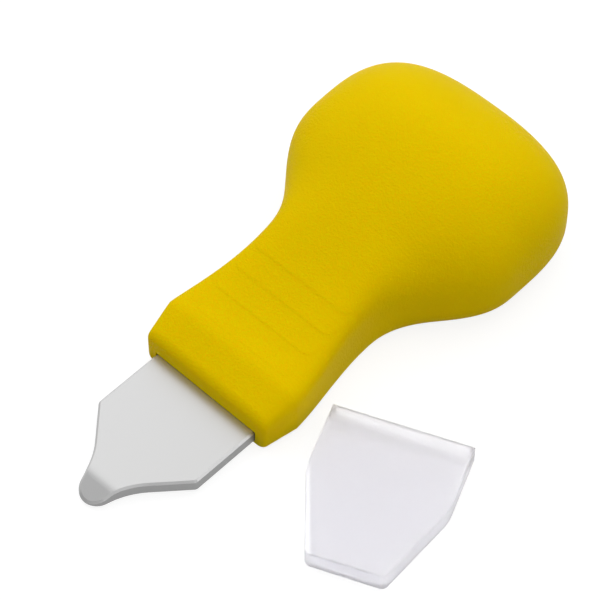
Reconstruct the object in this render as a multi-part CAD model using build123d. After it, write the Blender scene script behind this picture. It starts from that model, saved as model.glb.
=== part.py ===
"""Painter's multi tool: a short steel scraper and opener blade in a moulded palm
handle, with a push-on blade cap that lies beside it.

Millimetres.  +Z is up and +Y runs from the blade's tip to the rear of the handle.
The origin is half way along the tool, on its centre line, on the flat underside
that it rests on.
"""
from build123d import *
from math import cos, pi, radians, sin, sqrt
import os

# ---- Overall sizes ------------------------------------------------------------
OVERALL_LENGTH = 83.0         # blade tip to rear of handle
HANDLE_WIDTH = 40.0           # across the palm bulb
HANDLE_HEIGHT = 21.0          # underside to the top of the bulb
BLADE_EXPOSED = 23.0          # blade in front of the nose
TIP_WIDTH = 5.0               # across the round tip

# ---- Handle: plan ---------------------------------------------------------------
NOSE_WIDTH = 22.8             # across the front face, before its corners are rounded
FLARE_WIDTH = 24.8            # widest place of the nose
FLARE_SETBACK = 5.4           # nose face to the flare's corner
FLARE_TAPER = 0.085           # how fast each side draws in just behind that corner
WAIST_WIDTH = 20.45           # narrowest place, under finger and thumb
WAIST_SETBACK = 20.8          # nose face to the waist
BULB_SETBACK = 18.0           # rear end to where the bulb is full width
REAR_ROUNDING = 16.35         # length of the rounded rear, seen from above
REAR_SQUARENESS = 3.12        # 2 is an ellipse, more is squarer

# ---- Handle: side ---------------------------------------------------------------
NOSE_HEIGHT = 8.15            # top of the neck where it starts to rise
RISE_START = 6.3              # nose face to the start of the rise
RISE_END = 10.85              # rear end to the end of the rise
BACK_ROUNDING = 21.35         # length of the rounded rear, seen from the side
BACK_SQUARENESS = 2.38
NOSE_DROP = 2.2               # how far the top slopes down from the flare to the front
NOSE_BLEND = 1.0              # half length of the bend where that slope starts
NOSE_RADIUS = 1.15            # rounding over the front face
NOSE_CORNER = 0.5             # rounding of the front face's upright corners

# ---- Handle: cross-sections -----------------------------------------------------
NECK_WIDEST = 3.3             # height at which the neck is widest
BULB_WIDEST = 7.2             # height at which the bulb is widest
NECK_TOP_SQUARENESS = 6.8
NECK_FOOT_SQUARENESS = 9.7
BULB_TOP_SQUARENESS = 2.5
BULB_FOOT_SQUARENESS = 4.85
BLEND_START = 14.7            # nose face to where the neck's section starts to change
BLEND_END = 29.0              # rear end to where it has become the bulb's section
UNDERSIDE_TRIM = 0.2          # how much of the rounded underside is cut flat

# ---- Blade ------------------------------------------------------------------------
BLADE_WIDTH = 19.0
BLADE_THICKNESS = 1.9
BLADE_SIDE = 11.1             # straight side in front of the nose
BLADE_TAPER = 42.0            # degrees, slanted sides against the centre line
BLADE_HOLLOW = 12.0           # radius between slanted side and round tip
BLADE_CORNER = 0.8            # rounding between straight and slanted sides
TIP_BEVEL = 3.6               # length of the bevel ground on the tip
TIP_EDGE = 0.5                # thickness left at the tip's edge
BEVEL_BLEND = 4.5             # radius between flat and bevel
EDGE_BREAK = 0.3              # chamfer along the exposed blade's upper edges

# ---- Tang and what holds it -----------------------------------------------------
SHOULDER_DEPTH = 4.4          # full blade width behind the nose face
SHOULDER_FILLET = 1.0         # in the corners between shoulder and tang
TANG_WIDTH = 11.0
TANG_LENGTH = 29.0            # nose face to the tang's end
TANG_CORNER = 2.0
TANG_FIT = 0.1                # round the tang and its shoulders, on each side
SLOT_FIT = 0.05               # over and under the blade in the nose
POST_DIAMETER = 3.0
POST_FIT = 0.1                # between a post and the tang's hole, on the radius
SOCKET_FIT = 0.04             # between a post and its socket, on the radius
POST_SETBACK = 10.0           # nose face to the front post
POST_PITCH = 13.0             # front post to the post behind it
BULB_POST_SETBACK = 17.0      # rear end to the two posts in the bulb
BULB_POST_SPACING = 20.0      # between those two posts
POST_GRIP = 3.2               # post length inside its socket
POST_LEAD = 0.4               # chamfer at a post's end
SOCKET_RELIEF = 0.4           # socket depth beyond the post's end
BOSS_WALL = 1.6

# ---- Shell and base cover -------------------------------------------------------
SLOT_LIP = 0.6                # wall below the blade in the nose
NOSE_BRIDGE = 2.4             # nose face to the base cover
SHELL_WALL = 2.2              # side wall beside the base cover
SHELL_ROOF = 2.4              # thickness over the hollow
COVER_LEDGE = 0.8             # what the base cover's rim bears on
COVER_FIT = 0.08              # round the base cover
COVER_REAR = 7.0              # rear end to the base cover
COVER_ROUNDING = 9.0          # length of the base cover's rounded rear
COVER_SQUARENESS = 2.6
COVER_FLOOR = 1.5             # thickness of the base cover's floor in the bulb
COVER_RIM = 1.6               # width of the rim round that floor
HOLLOW_SETBACK = 6.4          # nose face to the hollow
RIB_THICKNESS = 1.4

# ---- Blade cap --------------------------------------------------------------------
CAP_WALL = 0.6
CAP_SIDE_FIT = 0.15           # blade's edge to the pocket, on each side
CAP_FACE_FIT = 0.08           # blade's face to the pocket, on each side
CAP_TIP_FIT = 0.3             # blade's tip to the pocket's end
CAP_STANDOFF = 0.3            # nose face to the cap's mouth when it is pushed on
CAP_SIDE = 10.6               # parallel part behind the mouth
CAP_END_WIDTH = 11.2          # across the closed end, before its corners are rounded
CAP_SHOULDER = 8.0            # radius between parallel and slanted side
CAP_CORNER = 1.1              # radius of the closed end's corners
CAP_EDGE = 0.25               # rounding along the top and bottom edges
CAP_BESIDE = 28.4             # centre line to the cap's middle
CAP_SETBACK = 3.7             # nose face to the cap's middle
CAP_TURN = 23.5               # degrees, the way that the cap lies turned

# ---- Worked out from the sizes above ----------------------------------------------
HANDLE_LENGTH = OVERALL_LENGTH - BLADE_EXPOSED
NOSE_Y = BLADE_EXPOSED - OVERALL_LENGTH / 2
TIP_Y = NOSE_Y - BLADE_EXPOSED
REAR_Y = NOSE_Y + HANDLE_LENGTH
BLADE_TOP = SLOT_LIP + BLADE_THICKNESS
COVER_THICKNESS = BLADE_TOP
POST_RADIUS = POST_DIAMETER / 2
POST_TOP = COVER_THICKNESS + POST_GRIP
TANG_POSTS = [(0, NOSE_Y + POST_SETBACK), (0, NOSE_Y + POST_SETBACK + POST_PITCH)]
BULB_POSTS = [(side * BULB_POST_SPACING / 2, REAR_Y - BULB_POST_SETBACK) for side in (-1, 1)]
CAP_WIDTH = BLADE_WIDTH + 2 * (CAP_SIDE_FIT + CAP_WALL)
CAP_HEIGHT = BLADE_THICKNESS + 2 * (CAP_FACE_FIT + CAP_WALL)
CAP_LENGTH = BLADE_EXPOSED - CAP_STANDOFF + CAP_TIP_FIT + CAP_WALL

# ---- How finely the curved forms are drawn ----------------------------------------
RING_POINTS = 40              # round one cross-section
OUTLINE_STEPS = 16            # along one side of the base cover
END_FLAT = 0.004              # leaves a small flat face at a rounded end
ABOVE_ALL = 2 * HANDLE_HEIGHT


def ease(t):
    """S-curve from 0 to 1 with level ends."""
    t = min(max(t, 0.0), 1.0)
    return t * t * (3 - 2 * t)


def soft_ease(t):
    """S-curve from 0 to 1 that leaves and arrives more gently."""
    t = min(max(t, 0.0), 1.0)
    return t ** 3 * (t * (6 * t - 15) + 10)


def closing(y, length, rounding, squareness):
    """1 ahead of the rounded end, falling to a small flat at the end itself."""
    t = min(max((y - (length - rounding)) / rounding, 0.0), 1.0)
    return max(1 - t ** squareness, END_FLAT) ** (1 / squareness)


def corner_loss(y, radius):
    """How far a rounded front corner stands back at a depth y behind the face."""
    if y >= radius:
        return 0.0
    return radius - sqrt(radius ** 2 - (radius - y) ** 2)


def nose_loss(y):
    """How far the top slopes down ahead of the flare."""
    ahead = FLARE_SETBACK - y
    if ahead < NOSE_BLEND:
        ahead = max(ahead + NOSE_BLEND, 0.0) ** 2 / (4 * NOSE_BLEND)
    return NOSE_DROP * ahead / FLARE_SETBACK


def half_width(y):
    """Half of the handle's width before its ends are rounded."""
    flare, waist, bulb = FLARE_WIDTH / 2, WAIST_WIDTH / 2, HANDLE_WIDTH / 2
    if y <= FLARE_SETBACK:
        return NOSE_WIDTH / 2 + (flare - NOSE_WIDTH / 2) * y / FLARE_SETBACK
    if y <= WAIST_SETBACK:
        run = WAIST_SETBACK - FLARE_SETBACK
        t = (y - FLARE_SETBACK) / run
        return waist + ((flare - waist) * (1 + 2 * t) - FLARE_TAPER * run * t) * (1 - t) ** 2
    full_width_at = HANDLE_LENGTH - BULB_SETBACK
    return waist + (bulb - waist) * soft_ease((y - WAIST_SETBACK) / (full_width_at - WAIST_SETBACK))


def section_blend(y):
    """0 where the section is the neck's, 1 where it is the bulb's."""
    return ease((y - BLEND_START) / (HANDLE_LENGTH - BLEND_END - BLEND_START))


def mix(neck, bulb, y):
    return neck + (bulb - neck) * section_blend(y)


def back_closing(y, length):
    return closing(y, length, BACK_ROUNDING, BACK_SQUARENESS)


def open_crown(y, rise):
    """Height of the top before its ends are rounded, for a given rise."""
    run = HANDLE_LENGTH - RISE_END - RISE_START
    return NOSE_HEIGHT + rise * ease((y - RISE_START) / run)


def crown(y, rise):
    """Height of the top with its rear rounded."""
    widest = mix(NECK_WIDEST, BULB_WIDEST, y)
    return widest + (open_crown(y, rise) - widest) * back_closing(y, HANDLE_LENGTH)


def find_rise():
    """The rise that makes the highest place of the crown the handle's height."""
    stations = [HANDLE_LENGTH * (0.5 + 0.005 * i) for i in range(90)]
    low, high = 0.0, 3 * HANDLE_HEIGHT
    for _ in range(40):
        rise = (low + high) / 2
        if max(crown(y, rise) for y in stations) > HANDLE_HEIGHT:
            high = rise
        else:
            low = rise
    return low


RISE = find_rise()


def ring(y, inset=0.0):
    """One closed cross-section of the handle, drawn in by an inset."""
    length = HANDLE_LENGTH - inset
    width = half_width(y) - inset - corner_loss(y, NOSE_CORNER)
    width *= closing(y, length, REAR_ROUNDING, REAR_SQUARENESS)
    widest = mix(NECK_WIDEST, BULB_WIDEST, y)
    top = open_crown(y, RISE) - nose_loss(y) - corner_loss(y, NOSE_RADIUS) - inset
    up = (top - widest) * back_closing(y, length)
    down = (widest + UNDERSIDE_TRIM - inset) * back_closing(y, length)
    top_power = mix(NECK_TOP_SQUARENESS, BULB_TOP_SQUARENESS, y)
    foot_power = mix(NECK_FOOT_SQUARENESS, BULB_FOOT_SQUARENESS, y)
    points = []
    for i in range(RING_POINTS):
        angle = 2 * pi * i / RING_POINTS
        c, s = cos(angle), sin(angle)
        power = top_power if s >= 0 else foot_power
        reach = (abs(c) ** power + abs(s) ** power) ** (-1 / power)
        height = up if s >= 0 else down
        points.append(Vector(width * c * reach, NOSE_Y + y, widest + height * s * reach))
    return Face(Wire(Edge.make_spline(points, periodic=True)))


def spread(start, end, steps):
    """Evenly spaced stations from start to end, with both."""
    return [start + (end - start) * i / steps for i in range(steps + 1)]


def handle_form(inset=0.0, front=0.0):
    """The handle's whole form as one solid, drawn in by an inset, from a station back."""
    length = HANDLE_LENGTH - inset
    open_end = length - REAR_ROUNDING
    nose = [0.0, 0.2, 0.5, NOSE_RADIUS, 3.3]
    flare = [FLARE_SETBACK - 0.7, FLARE_SETBACK, FLARE_SETBACK + 0.7]
    middle = spread(FLARE_SETBACK + 3.0, open_end, 12)
    rear = [open_end + REAR_ROUNDING * sin(pi / 2 * t) for t in spread(0, 1, 9)][1:]
    stations = [y for y in nose + flare + middle + rear if y > front + 0.1]
    return loft([ring(y, inset) for y in [front] + stations])


def slab(low, high):
    """Everything between two heights."""
    middle = (low + high) / 2
    return Pos(0, 0, middle) * Box(4 * OVERALL_LENGTH, 4 * OVERALL_LENGTH, high - low)


def block(x, y, z):
    """A box from its limits along each axis."""
    centre = Pos((x[0] + x[1]) / 2, (y[0] + y[1]) / 2, (z[0] + z[1]) / 2)
    return centre * Box(x[1] - x[0], y[1] - y[0], z[1] - z[0])


def cover_half_width(y, inset):
    """Half width of the base cover's plan at a station, drawn in by an inset."""
    length = HANDLE_LENGTH - COVER_REAR - inset
    width = half_width(y) - SHELL_WALL - inset
    return width * closing(y, length, COVER_ROUNDING, COVER_SQUARENESS)


def cover_prism(inset, front, low, high):
    """Upright block with the base cover's plan, drawn in by an inset."""
    length = HANDLE_LENGTH - COVER_REAR - inset
    start = length - COVER_ROUNDING
    stations = spread(front, start, OUTLINE_STEPS)
    stations += [start + COVER_ROUNDING * sin(pi / 2 * t) for t in spread(0, 1, 8)][1:]
    right = [Vector(cover_half_width(y, inset), NOSE_Y + y, low) for y in stations]
    left = [Vector(-p.X, p.Y, p.Z) for p in reversed(right)]
    sides = [Edge.make_spline(right), Edge.make_spline(left)]
    ends = [Edge.make_line(right[-1], left[0]), Edge.make_line(left[-1], right[0])]
    outline = Wire([sides[0], ends[0], sides[1], ends[1]])
    return Solid.extrude(Face(outline), Vector(0, 0, high - low))


def posts(places, radius, low, high):
    """Upright round bars at the given places."""
    height = high - low
    return [Pos(x, y, (low + high) / 2) * Cylinder(radius, height) for x, y in places]


def handle_shell(form):
    """Upper shell: the whole outer shape, hollow from below, with sockets and ribs."""
    rib = RIB_THICKNESS / 2
    everywhere = (-HANDLE_WIDTH, HANDLE_WIDTH)
    upright = (COVER_THICKNESS, ABOVE_ALL)
    hollow = handle_form(SHELL_ROOF, HOLLOW_SETBACK)
    hollow &= cover_prism(COVER_LEDGE, HOLLOW_SETBACK, COVER_THICKNESS, ABOVE_ALL)
    kept = [block(everywhere, (y - rib, y + rib), upright) for x, y in (TANG_POSTS[1], BULB_POSTS[0])]
    kept += [block((-rib, rib), (TANG_POSTS[1][1], REAR_Y), upright)]
    kept += posts(TANG_POSTS + BULB_POSTS, POST_RADIUS + BOSS_WALL, COVER_THICKNESS, ABOVE_ALL)
    slot_half = BLADE_WIDTH / 2 + TANG_FIT
    slot_length = (NOSE_Y - 1, NOSE_Y + SHOULDER_DEPTH + TANG_FIT)
    slot = block((-slot_half, slot_half), slot_length, (SLOT_LIP - SLOT_FIT, BLADE_TOP + SLOT_FIT))
    seat = cover_prism(0.0, NOSE_BRIDGE, -COVER_THICKNESS, COVER_THICKNESS)
    socket_top = POST_TOP + SOCKET_RELIEF
    sockets = posts(TANG_POSTS + BULB_POSTS, POST_RADIUS + SOCKET_FIT, COVER_THICKNESS, socket_top)
    return form - [hollow - kept, seat, slot, *sockets]


def base_cover(form):
    """Lower cover: closes the shell, carries the tang in a channel and stands the posts."""
    cover = form & cover_prism(COVER_FIT, NOSE_BRIDGE + COVER_FIT, -1.0, COVER_THICKNESS)
    shoulder_end = NOSE_Y + SHOULDER_DEPTH + SHOULDER_FILLET + TANG_FIT
    channel_half = TANG_WIDTH / 2 + TANG_FIT
    channel_end = NOSE_Y + TANG_LENGTH + TANG_FIT
    depth = (SLOT_LIP, BLADE_TOP + 1)
    cover -= block((-HANDLE_WIDTH, HANDLE_WIDTH), (NOSE_Y, shoulder_end), depth)
    cover -= block((-channel_half, channel_half), (NOSE_Y, channel_end), depth)
    tray_front = TANG_LENGTH + COVER_RIM
    tray = cover_prism(COVER_RIM, tray_front, COVER_FLOOR, ABOVE_ALL)
    for pad in posts(BULB_POSTS, POST_RADIUS + BOSS_WALL, 0.0, ABOVE_ALL):
        tray -= pad
    cover -= tray
    for places, foot in ((TANG_POSTS, SLOT_LIP / 2), (BULB_POSTS, COVER_FLOOR / 2)):
        for post in posts(places, POST_RADIUS, foot, POST_TOP):
            cover += chamfer(post.edges().group_by(Axis.Z)[-1], POST_LEAD)
    return cover


def blade_outline():
    """Plan of the blade and its tang."""
    tip_radius = TIP_WIDTH / 2
    taper = radians(BLADE_TAPER)
    half = BLADE_WIDTH / 2
    corner = Vector(half, NOSE_Y - BLADE_SIDE)
    tip_centre = Vector(0, TIP_Y + tip_radius)
    along = Vector(-sin(taper), -cos(taper))
    outward = Vector(cos(taper), -sin(taper))
    # Slide the hollow's centre along the slanted side until it meets the tip's circle.
    offset = corner + outward * BLADE_HOLLOW - tip_centre
    reach = tip_radius + BLADE_HOLLOW
    middle = offset.dot(along)
    run = -middle - sqrt(middle ** 2 - offset.dot(offset) + reach ** 2)
    hollow_centre = corner + along * run + outward * BLADE_HOLLOW
    slant_end = corner + along * run
    toward_tip = (tip_centre - hollow_centre).normalized()
    hollow_end = hollow_centre + toward_tip * BLADE_HOLLOW
    between = (slant_end - hollow_centre).normalized() + toward_tip
    hollow_middle = hollow_centre + between.normalized() * BLADE_HOLLOW
    tip = Vector(0, TIP_Y)
    shoulder_y = NOSE_Y + SHOULDER_DEPTH
    tang_half = TANG_WIDTH / 2
    right = [
        (half, NOSE_Y - BLADE_SIDE), (half, shoulder_y), (tang_half, shoulder_y),
        (tang_half, NOSE_Y + TANG_LENGTH), (-tang_half, NOSE_Y + TANG_LENGTH),
        (-tang_half, shoulder_y), (-half, shoulder_y), (-half, NOSE_Y - BLADE_SIDE),
    ]
    mirrored = [Vector(-p.X, p.Y) for p in (slant_end, hollow_middle, hollow_end)]
    outline = Polyline(slant_end, *right, mirrored[0])
    outline += ThreePointArc(mirrored[0], mirrored[1], mirrored[2])
    outline += ThreePointArc(mirrored[2], tip, hollow_end)
    outline += ThreePointArc(hollow_end, hollow_middle, slant_end)
    return make_face(outline)


def corners_at(face, x, y):
    """The corners of a plan that stand at plus and minus x."""
    return [v for v in face.vertices() if abs(abs(v.X) - x) < 0.01 and abs(v.Y - y) < 0.01]


def above_the_bevel():
    """Everything over the blade's flat top and the bevel that slopes down to its tip."""
    low = SLOT_LIP + TIP_EDGE
    drop = (BLADE_TOP - low) / TIP_BEVEL
    past_tip = TIP_Y - 1
    side = Polyline(
        (past_tip, low - drop), (TIP_Y + TIP_BEVEL, BLADE_TOP), (NOSE_Y, BLADE_TOP),
        (NOSE_Y, ABOVE_ALL), (past_tip, ABOVE_ALL), close=True)
    profile = make_face(side)
    bend = [v for v in profile.vertices() if abs(v.X - TIP_Y - TIP_BEVEL) < 0.01]
    profile = fillet(bend, BEVEL_BLEND)
    across = Plane(origin=(-BLADE_WIDTH, 0, 0), x_dir=(0, 1, 0), z_dir=(1, 0, 0))
    return extrude(across * profile, 2 * BLADE_WIDTH)


def blade():
    """Flat steel blade with a round bevelled tip and a drilled tang."""
    plan = blade_outline()
    plan = fillet(corners_at(plan, BLADE_WIDTH / 2, NOSE_Y - BLADE_SIDE), BLADE_CORNER)
    plan = fillet(corners_at(plan, TANG_WIDTH / 2, NOSE_Y + SHOULDER_DEPTH), SHOULDER_FILLET)
    plan = fillet(corners_at(plan, TANG_WIDTH / 2, NOSE_Y + TANG_LENGTH), TANG_CORNER)
    steel = extrude(Pos(0, 0, SLOT_LIP) * plan, BLADE_THICKNESS)
    steel -= above_the_bevel()
    upper = [face for face in steel.faces() if face.normal_at(face.center()).Z > 0.5]
    edges = [edge for face in upper for edge in face.edges()]
    exposed = [e for e in edges if edges.count(e) == 1 and e.center().Y < NOSE_Y]
    steel = chamfer(exposed, EDGE_BREAK)
    for hole in posts(TANG_POSTS, POST_RADIUS + POST_FIT, 0.0, ABOVE_ALL):
        steel -= hole
    return steel


def cap_plan(inset, mouth):
    """Plan of the cap, mouth towards +Y, drawn in by an inset and open past its mouth."""
    half, end = CAP_WIDTH / 2 - inset, CAP_END_WIDTH / 2 - inset
    back, front = -CAP_LENGTH / 2 + inset, CAP_LENGTH / 2
    shoulder = front - CAP_SIDE
    path = Polyline(
        (half, front + mouth), (half, shoulder), (end, back), (-end, back), (-half, shoulder),
        (-half, front + mouth), close=True)
    plan = make_face(path)
    plan = fillet(corners_at(plan, half, shoulder), CAP_SHOULDER)
    return fillet(corners_at(plan, end, back), CAP_CORNER - inset)


def blade_cap():
    """Push-on sheath, moulded in one piece, lying on the same surface as the tool."""
    outside = extrude(cap_plan(0.0, 0.0), CAP_HEIGHT)
    front = CAP_LENGTH / 2
    rims = [e for e in outside.edges() if abs(e.center().Z - CAP_HEIGHT / 2) > CAP_HEIGHT / 2 - 0.01]
    outside = fillet([e for e in rims if e.center().Y < front - 0.01], CAP_EDGE)
    pocket = extrude(Pos(0, 0, CAP_WALL) * cap_plan(CAP_WALL, 1.0), CAP_HEIGHT - 2 * CAP_WALL)
    place = Pos(CAP_BESIDE, NOSE_Y + CAP_SETBACK, 0) * Rot(0, 0, CAP_TURN)
    return place * (outside - pocket)


def main():
    os.makedirs("parts", exist_ok=True)
    form = handle_form() & slab(0.0, ABOVE_ALL)
    pieces = {
        "handle_shell": handle_shell(form),
        "base_cover": base_cover(form),
        "blade": blade(),
        "blade_cap": blade_cap(),
    }
    for name, piece in pieces.items():
        export_step(piece, f"parts/{name}.step")
        print(name, round(piece.volume, 1))


main()
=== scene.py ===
# %% [markdown]
# A painter's multi tool: a short steel blade in a palm-shaped plastic handle, and the
# plastic cap that keeps the blade safe in a pocket, lying beside it.  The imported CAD
# parts fix every size and place.  This lesson gives them their finish, and draws the
# handle again as a finer mesh, because its thumb pads are too shallow for the CAD.
# All positions are in metres in the CAD frame, so millimetres are multiplied by MM.

# %% Load the fixed frame
import bpy
import numpy as np
from math import cos, pi, radians, sin, sqrt
from mathutils import Matrix, Vector


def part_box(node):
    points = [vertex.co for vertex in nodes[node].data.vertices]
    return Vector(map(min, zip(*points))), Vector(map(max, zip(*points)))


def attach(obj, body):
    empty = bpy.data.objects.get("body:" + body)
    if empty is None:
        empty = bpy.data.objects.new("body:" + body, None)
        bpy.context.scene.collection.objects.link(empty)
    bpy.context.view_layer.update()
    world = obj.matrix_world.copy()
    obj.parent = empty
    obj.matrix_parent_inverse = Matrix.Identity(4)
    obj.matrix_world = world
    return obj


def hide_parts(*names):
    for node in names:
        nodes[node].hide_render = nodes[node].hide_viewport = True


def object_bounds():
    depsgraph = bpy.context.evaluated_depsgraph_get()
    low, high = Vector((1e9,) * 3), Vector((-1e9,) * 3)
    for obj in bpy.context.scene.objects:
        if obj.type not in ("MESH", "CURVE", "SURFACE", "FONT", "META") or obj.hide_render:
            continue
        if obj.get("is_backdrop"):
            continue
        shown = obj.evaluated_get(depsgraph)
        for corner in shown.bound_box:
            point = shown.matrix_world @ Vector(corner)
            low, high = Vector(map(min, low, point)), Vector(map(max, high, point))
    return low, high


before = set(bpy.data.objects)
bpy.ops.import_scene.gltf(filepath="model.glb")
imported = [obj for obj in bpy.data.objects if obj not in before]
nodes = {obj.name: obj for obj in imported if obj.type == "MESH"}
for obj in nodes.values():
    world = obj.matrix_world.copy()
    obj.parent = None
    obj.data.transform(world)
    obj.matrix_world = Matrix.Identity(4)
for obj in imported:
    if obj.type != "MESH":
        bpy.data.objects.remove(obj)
cad_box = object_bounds()
MM = 0.001
print("pieces:", ", ".join(sorted(nodes)))


# %% [markdown]
# Colours are written as sRGB hex, the way a colour picker shows them, while a shader
# wants linear light.  One function turns the first into the second.  A second one adds
# a shader node, sets its properties and fills its inputs, so that each material below
# reads as a list of what is joined to what.

# %% Two helpers for materials
def linear(hex_colour):
    """sRGB hex to linear RGBA."""
    parts = [int(hex_colour[i:i + 2], 16) / 255 for i in (1, 3, 5)]
    return [p / 12.92 if p <= 0.04045 else ((p + 0.055) / 1.055) ** 2.4 for p in parts] + [1.0]


def add(tree, kind, inputs=None, **settings):
    """Adds a shader node; an input is a plain value or another node's output socket."""
    made = tree.nodes.new("ShaderNode" + kind)
    for name, value in settings.items():
        setattr(made, name, value)
    for name, value in (inputs or {}).items():
        if isinstance(value, bpy.types.NodeSocket):
            tree.links.new(value, made.inputs[name])
        else:
            made.inputs[name].default_value = value
    return made


def new_material(name):
    """An empty node material and the tree to fill."""
    made = bpy.data.materials.new(name)
    made.use_nodes = True
    made.node_tree.nodes.clear()
    return made, made.node_tree


# %% [markdown]
# The handle is ABS, injection moulded in a cavity that was finished by spark erosion.
# Each spark leaves a crater, so the plastic comes out with a fine pebble grain.  To the
# eye that is a matt surface with hardly any gloss.  The pigment is a warm yellow, and
# because the plastic lets a little light in, its shaded side turns to amber rather than
# to grey.  The grain could be modelled, but real craters are only some hundredths of a
# millimetre deep and show as shading alone, so it is a bump.  Smooth ABS has an IOR of
# about 1.53.  The grain scatters most of that gloss away, above all the pale rim that a
# smooth plastic shows at its edges, so the IOR and the specular level are both set lower.

# %% Spark-eroded yellow ABS
GRAIN = 0.34 * MM            # one pebble, drawn about twice as coarse as the real grain
GRAIN_DEPTH = 0.11 * MM      # and deeper in step with it, so that it shows from afar
MOTTLE = 9.0 * MM            # width of the cloudy patches in the pigment
LIGHT_DEPTH = 4.0 * MM       # how far red light wanders inside the plastic


def spark_eroded_abs():
    material, tree = new_material("abs_yellow_spark_eroded")
    place = add(tree, "TexCoord").outputs["Object"]
    cloud = add(tree, "TexNoise", {"Vector": place, "Scale": 1 / MOTTLE, "Detail": 3.0})
    pigment = add(tree, "ValToRGB", {"Fac": cloud.outputs["Fac"]})
    pigment.color_ramp.elements[0].position = 0.3
    pigment.color_ramp.elements[0].color = linear("#ebc800")
    pigment.color_ramp.elements[1].position = 0.7
    pigment.color_ramp.elements[1].color = linear("#edca00")
    grain = add(tree, "TexNoise", {
        "Vector": place, "Scale": 1 / GRAIN, "Detail": 2.0, "Roughness": 0.6})
    polish = add(tree, "MapRange", {"Value": cloud.outputs["Fac"], "To Min": 0.42, "To Max": 0.48})
    bump = add(tree, "Bump", {
        "Height": grain.outputs["Fac"], "Strength": 1.0, "Distance": GRAIN_DEPTH})
    shader = add(tree, "BsdfPrincipled", {
        "Base Color": pigment.outputs["Color"], "Roughness": polish.outputs["Result"],
        "IOR": 1.25, "Specular IOR Level": 0.05, "Specular Tint": linear("#fff020"),
        "Subsurface Weight": 0.25, "Subsurface Scale": LIGHT_DEPTH,
        "Subsurface Radius": (1.0, 0.3, 0.02), "Normal": bump.outputs["Normal"]})
    add(tree, "OutputMaterial", {"Surface": shader.outputs["BSDF"]})
    return material


abs_yellow = spark_eroded_abs()
for slot in nodes["base_cover"].material_slots:
    slot.material = abs_yellow
print("pebbles of grain across the handle:", round(40 * MM / GRAIN))


# %% [markdown]
# The blade is stainless strip, pressed out and then ground on its faces and on the
# bevel at its tip.  Fine belt grinding along the blade leaves lines far too fine to
# count, which show only as a satin finish that stretches reflections.  The sides are
# sheared by the press, so they are rougher and darker than the faces.  Which of the two
# a place belongs to is read from its normal: a sheared side stands upright.

# %% Satin-ground stainless steel
GRIND_PITCH = 0.12 * MM      # drawn coarser than the real lines so that they show
GRIND_RUN = 60.0             # lines that follow each other along one metre
GRIND_DEPTH = 0.002 * MM


def satin_steel():
    material, tree = new_material("stainless_steel_satin_ground")
    place = add(tree, "TexCoord").outputs["Object"]
    lines = add(tree, "Mapping", {
        "Vector": place, "Scale": (1 / GRIND_PITCH, GRIND_RUN, 1 / GRIND_PITCH)})
    streak = add(tree, "TexNoise", {
        "Vector": lines.outputs["Vector"], "Scale": 1.0, "Detail": 2.0})
    up = add(tree, "SeparateXYZ", {"Vector": add(tree, "NewGeometry").outputs["True Normal"]})
    sheared = add(tree, "MapRange", {"Value": up.outputs["Z"], "From Min": 0.5, "From Max": 0.1})
    tone = add(tree, "MixRGB", {
        "Fac": sheared.outputs["Result"], 1: linear("#c1c1c1"), 2: linear("#9a9a9a")})
    satin = add(tree, "MapRange", {"Value": streak.outputs["Fac"], "To Min": 0.34, "To Max": 0.38})
    rough = add(tree, "MapRange", {
        "Value": sheared.outputs["Result"], "To Min": satin.outputs["Result"], "To Max": 0.5})
    bump = add(tree, "Bump", {
        "Height": streak.outputs["Fac"], "Strength": 0.1, "Distance": GRIND_DEPTH})
    shader = add(tree, "BsdfPrincipled", {
        "Base Color": tone.outputs["Color"], "Roughness": rough.outputs["Result"],
        "Metallic": 1.0, "Normal": bump.outputs["Normal"]})
    add(tree, "OutputMaterial", {"Surface": shader.outputs["BSDF"]})
    return material


steel = satin_steel()
for slot in nodes["blade"].material_slots:
    slot.material = steel
print("grinding lines, one every", round(GRIND_PITCH / MM, 2), "mm")


# %% [markdown]
# The cap is natural polypropylene, moulded with thin walls in a lightly frosted cavity.
# It has no pigment.  Its crystals scatter light, so it looks milky white and lets what
# lies under it show faintly through.  The upright side walls are made clearer than the
# broad faces, which is painted light: it makes the sides come out lighter.  The lip of
# the mouth is made less clear, a painted shade that keeps the light falling straight
# into the pocket from showing as a bright band there.  Both are read from the part
# itself: the first from the normal, the second from how far along the cap a place lies.

# %% Frosted natural polypropylene
FROST = 0.5 * MM                          # width of one patch of the frosting
FROST_DEPTH = 0.006 * MM
CAP_AXIS = (-0.398749, 0.91706, 0.0)      # the way that the cap's mouth faces
MOUTH_AT = -13.1 * MM                     # the mouth's place along that way
LIP_START, LIP_END = MOUTH_AT - 2.6 * MM, MOUTH_AT - 0.4 * MM
# the sides' extra clearness is painted light, and the lip's lower clearness is painted shade
SIDE_CLEAR_PAINTED_LIGHT, CLEAR_FACE, LIP_CLEAR_PAINTED_SHADE = 0.92, 0.73, 0.66


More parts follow.
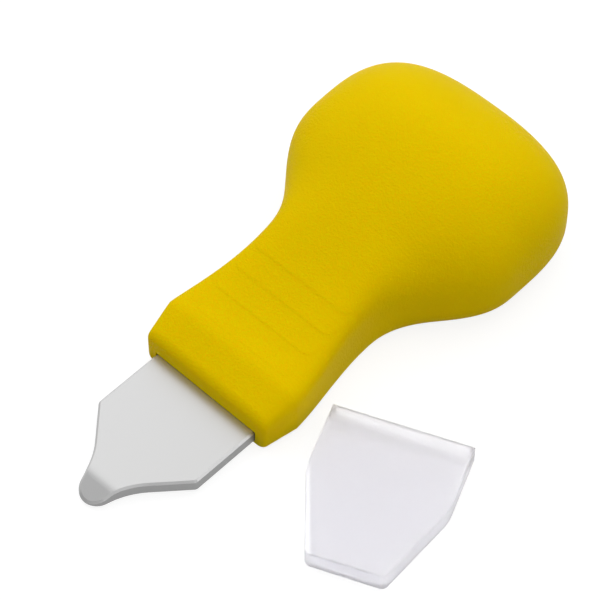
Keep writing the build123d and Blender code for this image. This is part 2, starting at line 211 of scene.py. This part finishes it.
def frosted_polypropylene():
    material, tree = new_material("polypropylene_natural_frosted")
    place = add(tree, "TexCoord").outputs["Object"]
    frost = add(tree, "TexNoise", {"Vector": place, "Scale": 1 / FROST, "Detail": 2.0})
    rough = add(tree, "MapRange", {"Value": frost.outputs["Fac"], "To Min": 0.42, "To Max": 0.52})
    bump = add(tree, "Bump", {
        "Height": frost.outputs["Fac"], "Strength": 0.6, "Distance": FROST_DEPTH})
    up = add(tree, "SeparateXYZ", {"Vector": add(tree, "NewGeometry").outputs["True Normal"]})
    # upright walls made clearer than the faces: painted light that lightens the sides
    side_painted_light = add(tree, "MapRange", {
        "Value": up.outputs["Z"], "From Min": 0.2, "From Max": 0.9,
        "To Min": SIDE_CLEAR_PAINTED_LIGHT, "To Max": CLEAR_FACE})
    along = add(tree, "VectorMath", {0: place, 1: CAP_AXIS}, operation="DOT_PRODUCT")
    # the lip made less clear: painted shade against the light falling into the pocket
    lip = add(tree, "MapRange", {
        "Value": along.outputs["Value"], "From Min": LIP_START, "From Max": LIP_END,
        "To Min": 1.0, "To Max": LIP_CLEAR_PAINTED_SHADE})
    clear = add(tree, "Math", {
        0: side_painted_light.outputs["Result"], 1: lip.outputs["Result"]}, operation="MULTIPLY")
    shader = add(tree, "BsdfPrincipled", {
        "Base Color": linear("#faf9fd"), "Roughness": rough.outputs["Result"], "IOR": 1.49,
        "Normal": bump.outputs["Normal"], "Transmission Weight": clear.outputs["Value"],
        "Subsurface Weight": 0.5, "Subsurface Scale": 1.5 * MM,
        "Subsurface Radius": (1.0, 1.0, 1.0)})
    add(tree, "OutputMaterial", {"Surface": shader.outputs["BSDF"]})
    return material


polypropylene = frosted_polypropylene()
for slot in nodes["blade_cap"].material_slots:
    slot.material = polypropylene
print(f"cap's lip frosted over {(LIP_END - LIP_START) / MM:.1f} mm")


# %% [markdown]
# The handle is drawn as a stack of rings, one cross-section after another, as a loft.
# Each ring is a superellipse: a power of 2 is an ellipse, and more is squarer, so one
# formula gives the flat neck and the round palm.  A smooth curve between the two powers
# blends one into the other.  Ahead of the flare, which is the widest place of the nose,
# the top slopes down to the front face.  The length, width and height come from the
# CAD's own box, and the skin stays a hair inside it.  The other sizes are in millimetres,
# setbacks measured from the nose's face or from the rear.

# %% The handle's sizes and its width and height along its length
handle_low, handle_high = (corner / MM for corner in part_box("handle_shell"))
HAIR = 0.01
NOSE_Y = handle_low.y
LENGTH = handle_high.y - handle_low.y
BULB_HALF = (handle_high.x - handle_low.x) / 2 - HAIR
HEIGHT = handle_high.z - HAIR
print(f"handle {LENGTH:.2f} long, {2 * BULB_HALF:.2f} wide, {HEIGHT:.2f} high")

NOSE_HALF, FLARE_HALF, WAIST_HALF = 11.4, 12.4, 10.225   # half widths
FLARE_SETBACK, FLARE_TAPER = 5.4, 0.085      # the taper is how fast the sides draw in
WAIST_SETBACK, BULB_SETBACK = 20.8, 18.0
REAR_ROUNDING, REAR_SQUARENESS = 16.35, 3.12     # the rear as seen from above
BACK_ROUNDING, BACK_SQUARENESS = 21.35, 2.38     # and from the side
NOSE_HEIGHT, NOSE_RADIUS, NOSE_CORNER = 8.15, 1.15, 0.5
NOSE_DROP, NOSE_BLEND = 2.2, 1.0             # the slope down to the front, and its bend
RISE_START, RISE_END = 6.3, 10.85            # from here to here the crown rises
BLEND_START, BLEND_END = 14.7, 29.0          # from here to here neck turns into bulb
NECK_WIDEST, NECK_TOP, NECK_FOOT = 3.3, 6.8, 9.7     # height where widest, and two powers
BULB_WIDEST, BULB_TOP, BULB_FOOT = 7.2, 2.5, 4.85
UNDERSIDE_TRIM = 0.2                         # how much of the rounded foot is cut flat


def ease(t):
    t = np.clip(t, 0.0, 1.0)
    return t * t * (3 - 2 * t)


def soft_ease(t):
    t = np.clip(t, 0.0, 1.0)
    return t ** 3 * (t * (6 * t - 15) + 10)


def closing(y, rounding, squareness):
    """1 ahead of the rounded rear, falling to 0 at its end."""
    t = np.clip((y - (LENGTH - rounding)) / rounding, 0.0, 1.0)
    return (1 - t ** squareness) ** (1 / squareness)


def corner_loss(y, radius):
    """How far a rounded front corner stands back at a depth y behind the face."""
    return radius - sqrt(radius ** 2 - max(radius - y, 0.0) ** 2)


def nose_loss(y):
    """How far the top slopes down ahead of the flare."""
    ahead = FLARE_SETBACK - y
    if ahead < NOSE_BLEND:
        ahead = max(ahead + NOSE_BLEND, 0.0) ** 2 / (4 * NOSE_BLEND)
    return NOSE_DROP * ahead / FLARE_SETBACK


def half_width(y):
    if y <= FLARE_SETBACK:
        return NOSE_HALF + (FLARE_HALF - NOSE_HALF) * y / FLARE_SETBACK
    if y <= WAIST_SETBACK:
        run = WAIST_SETBACK - FLARE_SETBACK
        t = (y - FLARE_SETBACK) / run
        swell = (FLARE_HALF - WAIST_HALF) * (1 + 2 * t) - FLARE_TAPER * run * t
        return WAIST_HALF + swell * (1 - t) ** 2
    run = LENGTH - BULB_SETBACK - WAIST_SETBACK
    return WAIST_HALF + (BULB_HALF - WAIST_HALF) * soft_ease((y - WAIST_SETBACK) / run)


def mix(neck, bulb, y):
    return neck + (bulb - neck) * ease((y - BLEND_START) / (LENGTH - BLEND_END - BLEND_START))


def open_crown(y, rise):
    return NOSE_HEIGHT + rise * ease((y - RISE_START) / (LENGTH - RISE_END - RISE_START))


def crown(y, rise):
    widest = mix(NECK_WIDEST, BULB_WIDEST, y)
    return widest + (open_crown(y, rise) - widest) * closing(y, BACK_ROUNDING, BACK_SQUARENESS)


def find_rise():
    """The rise that brings the highest place of the crown to the handle's height."""
    low, high = 0.0, 3 * HEIGHT
    for _ in range(40):
        rise = (low + high) / 2
        top = max(crown(y, rise) for y in np.linspace(LENGTH / 2, LENGTH * 0.95, 300))
        low, high = (low, rise) if top > HEIGHT else (rise, high)
    return low


RISE = find_rise()
print(f"crown rises {RISE:.2f} before its rear is rounded")


# %% [markdown]
# One ring is first drawn with many points and then walked along at even steps, so that
# the mesh's squares stay alike from the neck to the palm.  Only the right half is
# walked, and the left half mirrors it.  Points that would lie below the table are
# brought up to it: that is the flat that the tool rests on.

# %% One ring of the handle
RING_POINTS, FINE_POINTS = 320, 1201


def ring(y):
    half = half_width(y) - corner_loss(y, NOSE_CORNER)
    half = max(half * closing(y, REAR_ROUNDING, REAR_SQUARENESS), 1e-3)
    widest = mix(NECK_WIDEST, BULB_WIDEST, y)
    back = max(closing(y, BACK_ROUNDING, BACK_SQUARENESS), 1e-4)
    up = (open_crown(y, RISE) - nose_loss(y) - corner_loss(y, NOSE_RADIUS) - widest) * back
    down = (widest + UNDERSIDE_TRIM) * back
    angle = np.linspace(-pi / 2, pi / 2, FINE_POINTS)
    c, s = np.abs(np.cos(angle)), np.sin(angle)
    power = np.where(s >= 0, mix(NECK_TOP, BULB_TOP, y), mix(NECK_FOOT, BULB_FOOT, y))
    reach = (c ** power + np.abs(s) ** power) ** (-1 / power)
    x = half * c * reach
    z = widest + np.where(s >= 0, up, down) * s * reach
    x[0] = x[-1] = 0.0
    walked = np.concatenate([[0.0], np.cumsum(np.hypot(np.diff(x), np.diff(z)))])
    even = np.linspace(0, walked[-1], RING_POINTS // 2 + 1)
    x, z = np.interp(even, walked, x), np.interp(even, walked, z)
    x, z = np.concatenate([x, -x[-2:0:-1]]), np.concatenate([z, z[-2:0:-1]])
    return np.stack([x, np.full_like(x, NOSE_Y + y), np.maximum(z, 0.0)], axis=1)


# %% [markdown]
# Four thumb pads lie across the neck like overlapping scales.  Each one stands less than
# a tenth of a millimetre proud along its front edge, turns back at its two ends with a
# small radius, and sinks into the neck before the next one begins.  They are real
# relief, worked into the mesh, so they show at any angle.

# %% The thumb pads
PADS = ((6.6, 0.05), (10.9, 0.09), (14.7, 0.09), (18.4, 0.09))     # setback, step
PAD_LENGTH, PAD_HALF, PAD_CORNER = 4.0, 9.2, 1.5
PAD_RISER = 0.14             # how wide the slope of a step is
PAD_ABOVE = 6.0              # the pads lie on the skin above this height


def pad_relief(x, y):
    """How far the pads stand proud at a place on the neck, y from the nose face."""
    relief = np.zeros_like(x)
    for setback, step in PADS:
        behind = y - setback
        beside = PAD_HALF - np.abs(x)
        corner = PAD_CORNER - np.hypot(
            np.maximum(PAD_CORNER - beside, 0), np.maximum(PAD_CORNER - behind, 0))
        inside = np.minimum(corner, np.minimum(behind, beside))
        sink = np.clip(1 - behind / PAD_LENGTH, 0, 1) ** 2
        relief += step * ease(inside / PAD_RISER + 0.5) * sink * (behind > -PAD_RISER)
    return relief


# %% [markdown]
# The rings stand close together where the form changes quickly: round the nose, at the
# pads and at the rounded rear.  One ring stands exactly at the flare, because the
# moulding has a crisp upright edge there, which is marked sharp later on.  Both ends
# are closed with faces that run straight across, from the left half to the right.

# %% Stations and the finished skin
RING_GAP = 0.16              # between rings at the pads
NOSE_RINGS, PALM_RINGS, REAR_RINGS = 14, 45, 60


def stations():
    """Where the rings stand, measured from the nose face."""
    nose = [NOSE_RADIUS * (1 - cos(a)) for a in np.linspace(0, pi / 2, NOSE_RINGS)]
    pads = np.arange(NOSE_RADIUS + 0.1, PADS[-1][0] + PAD_LENGTH, RING_GAP)
    pads = [FLARE_SETBACK if abs(y - FLARE_SETBACK) <= RING_GAP / 2 else y for y in pads]
    open_end = LENGTH - REAR_ROUNDING
    palm = np.linspace(pads[-1] + 0.3, open_end, PALM_RINGS)
    turns = np.linspace(0, pi / 2, REAR_RINGS)[1:]
    rear = [open_end + REAR_ROUNDING * sin(a) for a in turns]
    return [*nose, *pads, *palm, *rear]


def handle_skin():
    """The closed outer surface of the handle."""
    rows = []
    for y in stations():
        row = ring(y)
        on_top = row[:, 2] > PAD_ABOVE
        row[:, 2] += pad_relief(row[:, 0], np.full(len(row), y)) * on_top
        rows.append(row)
    count = len(rows)
    points = np.concatenate(rows) * MM
    faces = []
    for k in range(count - 1):
        for i in range(RING_POINTS):
            j = (i + 1) % RING_POINTS
            a, b = k * RING_POINTS, (k + 1) * RING_POINTS
            faces.append((a + i, a + j, b + j, b + i))
    for start, front in ((0, True), ((count - 1) * RING_POINTS, False)):
        for i in range(RING_POINTS // 2):
            j, m, n = i + 1, (RING_POINTS - i) % RING_POINTS, RING_POINTS - i - 1
            quad = [start + v for v in dict.fromkeys((i, m, n, j))]
            faces.append(quad if front else quad[::-1])
    mesh = bpy.data.meshes.new("palm_handle")
    mesh.from_pydata(points.tolist(), [], faces)
    mesh.validate()
    made = bpy.data.objects.new("palm_handle", mesh)
    bpy.context.scene.collection.objects.link(made)
    return made


palm_handle = handle_skin()
print("handle mesh:", len(palm_handle.data.vertices), "points")


# %% [markdown]
# Two things are let into the handle: the slot that the blade comes out of, and the seat
# of the base cover in the underside.  Each is cut with a boolean.  A boolean wants
# closed cutters that pass clean through the surface they open, so both cutters reach a
# little outside the handle.

# %% The slot and the base cover's seat
def prism(name, outline, low, high):
    """An upright block from a plan in millimetres."""
    count = len(outline)
    points = [(x * MM, y * MM, z * MM) for z in (low, high) for x, y in outline]
    sides = [(i, (i + 1) % count, count + (i + 1) % count, count + i) for i in range(count)]
    mesh = bpy.data.meshes.new(name)
    mesh.from_pydata(points, [], [*sides, range(count)[::-1], range(count, 2 * count)])
    made = bpy.data.objects.new(name, mesh)
    bpy.context.scene.collection.objects.link(made)
    return made


blade_low, blade_high = (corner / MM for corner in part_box("blade"))
cover_low, cover_high = (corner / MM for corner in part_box("base_cover"))
BLADE_HALF = blade_high.x
SLOT_SIDE, SLOT_FACE, SLOT_DEPTH = 0.1, 0.05, 4.5        # two clearances and a depth
COVER_INSET, COVER_FRONT, COVER_REAR = 2.2, 2.4, 7.0     # from the sides, nose and rear
COVER_ROUNDING, COVER_SQUARENESS = 9.0, 2.6
SEAT_TOP = blade_high.z
OUTSIDE = 1.0                # how far a cutter reaches outside the handle


def slot_outline():
    half = BLADE_HALF + SLOT_SIDE
    front, back = NOSE_Y - OUTSIDE, NOSE_Y + SLOT_DEPTH
    return [(-half, front), (half, front), (half, back), (-half, back)]


def seat_outline():
    end = LENGTH - COVER_REAR
    start = end - COVER_ROUNDING
    along = [*np.linspace(COVER_FRONT, start, 60)]
    along += [start + COVER_ROUNDING * sin(a) for a in np.linspace(0, pi / 2, 30)[1:-1]]
    right = []
    for y in along:
        t = max(y - start, 0) / COVER_ROUNDING
        share = (1 - t ** COVER_SQUARENESS) ** (1 / COVER_SQUARENESS)
        right.append(((half_width(y) - COVER_INSET) * share, NOSE_Y + y))
    return right + [(-x, y) for x, y in reversed(right)]


def carve(piece, cutters):
    """Takes the cutters out of a piece and keeps the result as its mesh."""
    for cutter in cutters:
        cut = piece.modifiers.new("cut", "BOOLEAN")
        cut.operation, cut.solver, cut.object = "DIFFERENCE", "EXACT", cutter
    view = bpy.context.evaluated_depsgraph_get()
    piece.data = bpy.data.meshes.new_from_object(piece.evaluated_get(view))
    piece.modifiers.clear()
    for cutter in cutters:
        bpy.data.objects.remove(cutter)


carve(palm_handle, [
    prism("slot_cutter", slot_outline(), blade_low.z - SLOT_FACE, blade_high.z + SLOT_FACE),
    prism("seat_cutter", seat_outline(), -OUTSIDE, SEAT_TOP)])
print("handle after carving:", len(palm_handle.data.polygons), "faces")


# %% [markdown]
# The skin is shaded smooth, and stays crisp only where two faces meet at more than the
# sharp angle, as at the slot and round the underside.  The upright edge of the flare is
# blunter than that, so the edges of its ring are marked one by one.  Then the piece is
# hung on the tool's body, and the CAD's handle is hidden.

# %% The handle's edges and its place in the frame
SHARP_ANGLE = radians(35)
palm_handle.data.materials.clear()
palm_handle.data.materials.append(abs_yellow)
for polygon in palm_handle.data.polygons:
    polygon.use_smooth = True
palm_handle.data.set_sharp_from_angle(angle=SHARP_ANGLE)
corners = palm_handle.data.vertices
flare_edges = [
    edge for edge in palm_handle.data.edges
    if all(abs(corners[v].co.y / MM - NOSE_Y - FLARE_SETBACK) < HAIR for v in edge.vertices)]
for edge in flare_edges:
    edge.use_edge_sharp = True
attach(palm_handle, "tool")
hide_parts("handle_shell")
print("edges marked sharp at the flare:", len(flare_edges))


# %% [markdown]
# The tool is seen from its blade's end, from the right and from above, with a long
# lens.  The camera is placed from those angles: it looks at a point a little to the
# right of and above the middle of the slot in the nose.

# %% Camera
AZIMUTH, ELEVATION, ROLL = radians(44.13), radians(53.34), radians(0.135)
DISTANCE = 397.1 * MM
AIM_RIGHT, AIM_UP = 13.04 * MM, 12.72 * MM
PICTURE_WIDTH = 82.34 * MM      # what the picture spans at that distance
SENSOR_WIDTH = 36               # mm, as a lens is given for


def place_camera():
    camera = bpy.data.objects.new("camera", bpy.data.cameras.new("camera"))
    bpy.context.scene.collection.objects.link(camera)
    bpy.context.scene.camera = camera
    back = Vector((sin(AZIMUTH) * cos(ELEVATION), -cos(AZIMUTH) * cos(ELEVATION), sin(ELEVATION)))
    right = Vector((cos(AZIMUTH), sin(AZIMUTH), 0))
    up = back.cross(right)
    right, up = right * cos(ROLL) - up * sin(ROLL), right * sin(ROLL) + up * cos(ROLL)
    slot_middle = Vector((0, NOSE_Y * MM, blade_high.z * MM))
    where = slot_middle + right * AIM_RIGHT + up * AIM_UP + back * DISTANCE
    turn = Matrix((right, up, back)).transposed().to_4x4()
    camera.matrix_world = Matrix.Translation(where) @ turn
    camera.data.sensor_width = SENSOR_WIDTH
    camera.data.lens = SENSOR_WIDTH * DISTANCE / PICTURE_WIDTH
    camera.data.clip_start, camera.data.clip_end = 0.01, 20
    return camera


camera = place_camera()
print(f"lens {camera.data.lens:.1f} mm")


# %% [markdown]
# The tool lies on a plain pale card.  The card's own colour is kept a quiet grey, so
# that it throws little light back up at the tool's sides.  A glow that only the eye,
# reflections and light passing through the cap can see brings it to full white, and
# leaves the tool's shadow in place.  The room does the same: full white to the eye, and
# a softer light on the tool.

# %% Table and room
TABLE_GLOW, TABLE_REACH, TABLE_DROP = 0.82, 3.0, 0.02 * MM
ROOM_LIGHT = 0.44
WHITE = (1, 1, 1, 1)


def white_table():
    material, tree = new_material("table_white_card")
    path = add(tree, "LightPath")
    seen = add(tree, "Math", {
        0: path.outputs["Is Camera Ray"], 1: path.outputs["Is Glossy Ray"]}, operation="ADD")
    seen = add(tree, "Math", {
        0: seen.outputs["Value"], 1: path.outputs["Is Transmission Ray"]}, operation="ADD")
    glow = add(tree, "Math", {0: seen.outputs["Value"], 1: TABLE_GLOW}, operation="MULTIPLY")
    card = add(tree, "BsdfDiffuse", {"Color": linear("#959595")})
    light = add(tree, "Emission", {"Color": WHITE, "Strength": glow.outputs["Value"]})
    both = add(tree, "AddShader", {0: card.outputs[0], 1: light.outputs[0]})
    add(tree, "OutputMaterial", {"Surface": both.outputs[0]})
    mesh = bpy.data.meshes.new("table")
    plan = [(-1, -1), (1, -1), (1, 1), (-1, 1)]
    mesh.from_pydata(
        [(x * TABLE_REACH, y * TABLE_REACH, -TABLE_DROP) for x, y in plan], [], [(0, 1, 2, 3)])
    mesh.materials.append(material)
    table = bpy.data.objects.new("table", mesh)
    bpy.context.scene.collection.objects.link(table)
    table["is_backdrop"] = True


def white_room(strength):
    world = bpy.data.worlds.new("room")
    bpy.context.scene.world = world
    world.use_nodes = True
    tree = world.node_tree
    tree.nodes.clear()
    path = add(tree, "LightPath")
    level = add(tree, "MapRange", {
        "Value": path.outputs["Is Camera Ray"], "To Min": strength, "To Max": 1.0})
    light = add(tree, "Background", {"Color": WHITE, "Strength": level.outputs["Result"]})
    add(tree, "OutputWorld", {"Surface": light.outputs[0]})


white_table()
white_room(ROOM_LIGHT)
print(f"table glow {TABLE_GLOW}, room light {ROOM_LIGHT}")


# %% [markdown]
# A flat steel blade shows whatever stands opposite it, so the lamps are placed by what
# each face mirrors.  The large key panel stands behind the tool to the left, where the
# flat of the blade mirrors it.  The left panel is what the bevel at the tip mirrors.  Two
# long strips soften the front and the right side of the handle, and a small lamp low on
# the right draws the bright line along the blade's broken edge.  A lamp's brightness is
# given as radiance, so that its size can change without changing how bright it looks.

# %% The lamps
def soft_lamp(name, azimuth, elevation, away, size, radiance):
    """A rectangular lamp that looks at the tool; azimuth is measured as the camera's is."""
    lamp = bpy.data.lights.new(name, "AREA")
    lamp.shape, lamp.size, lamp.size_y = "RECTANGLE", size[0], size[1]
    lamp.energy = radiance * pi * size[0] * size[1]
    made = bpy.data.objects.new(name, lamp)
    bpy.context.scene.collection.objects.link(made)
    a, e = radians(azimuth), radians(elevation)
    back = Vector((sin(a) * cos(e), -cos(a) * cos(e), sin(e)))
    turn = back.to_track_quat("Z", "Y").to_matrix().to_4x4()
    made.matrix_world = Matrix.Translation(back * away) @ turn
    print(f"{name}: {lamp.energy:.2f} W")


soft_lamp("key_panel", azimuth=208, elevation=58, away=0.4, size=(0.56, 0.56), radiance=0.86)
soft_lamp("left_panel", azimuth=275, elevation=36, away=0.8, size=(0.8, 0.6), radiance=0.98)
soft_lamp("front_strip", azimuth=5, elevation=28, away=0.7, size=(0.7, 0.15), radiance=0.6)
soft_lamp("side_strip", azimuth=68, elevation=32, away=0.7, size=(0.6, 0.10), radiance=1.7)
soft_lamp("rim_lamp", azimuth=118, elevation=25, away=0.7, size=(0.35, 0.3), radiance=1.5)


# %% [markdown]
# Last, the box of the finished model is written beside the CAD's, to show that the
# looks did not change the size.

# %% Compare the sizes and finish
bpy.context.scene.view_settings.view_transform = "Standard"
boxes = {"cad": [list(c) for c in cad_box], "visual": [list(c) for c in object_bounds()]}
for name, (low, high) in boxes.items():
    print(name, [round((h - l) / MM, 3) for l, h in zip(low, high)])
